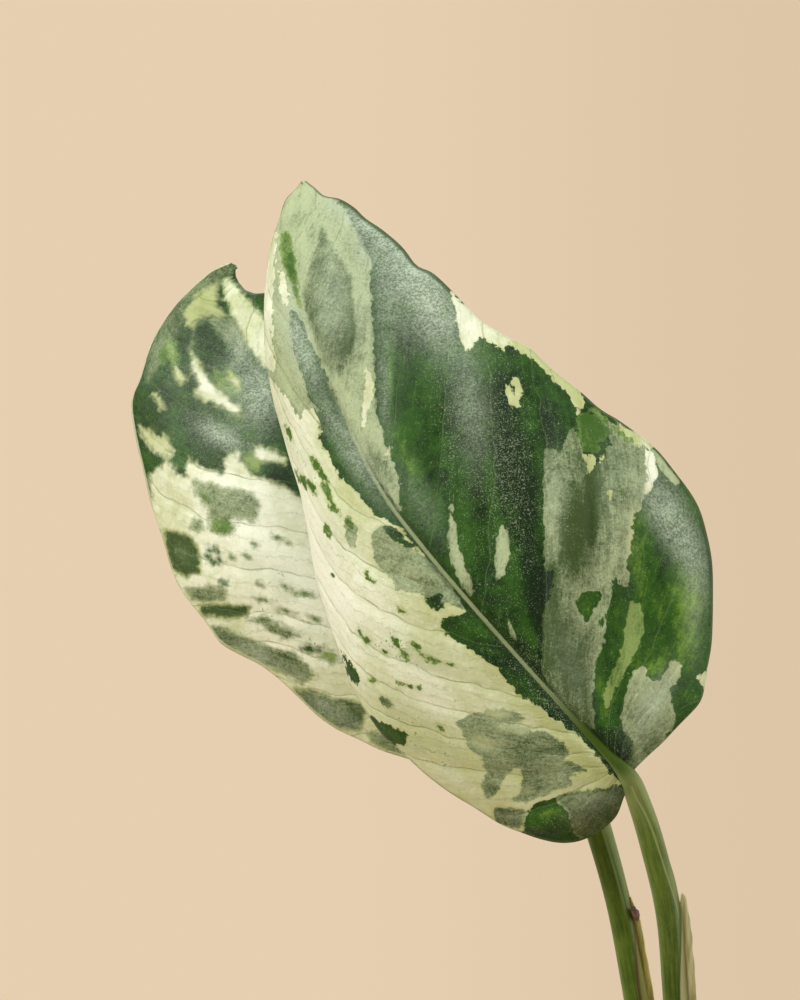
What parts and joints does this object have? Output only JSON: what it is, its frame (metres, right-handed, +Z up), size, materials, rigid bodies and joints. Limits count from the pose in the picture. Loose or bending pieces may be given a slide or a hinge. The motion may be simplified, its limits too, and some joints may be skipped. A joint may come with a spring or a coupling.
{
  "type": "potted variegated climbing aroid",
  "caption": "Young variegated climbing aroid with marbled cream and green heart-shaped leaves on long petioles, standing in a soil-filled round clay pot with a flat base.",
  "frame": {"origin": "middle of the pot's flat underside, where it rests", "axes": "+Z up the plant, +X to the right and +Y away from the viewer who sees both leaves' upper faces"},
  "size_m": [0.1456, 0.118, 0.2809],
  "materials": {
    "clay": "unglazed, matt",
    "soil": "loose bark and peat mix",
    "stem": "smooth living stem",
    "leaf": "satin leaf, marbled cream and green"
  },
  "bodies": {
    "root": {"pot": "clay", "soil": "soil", "stem": "stem", "leaf_front": "leaf", "leaf_back": "leaf"}
  },
  "joints": []
}
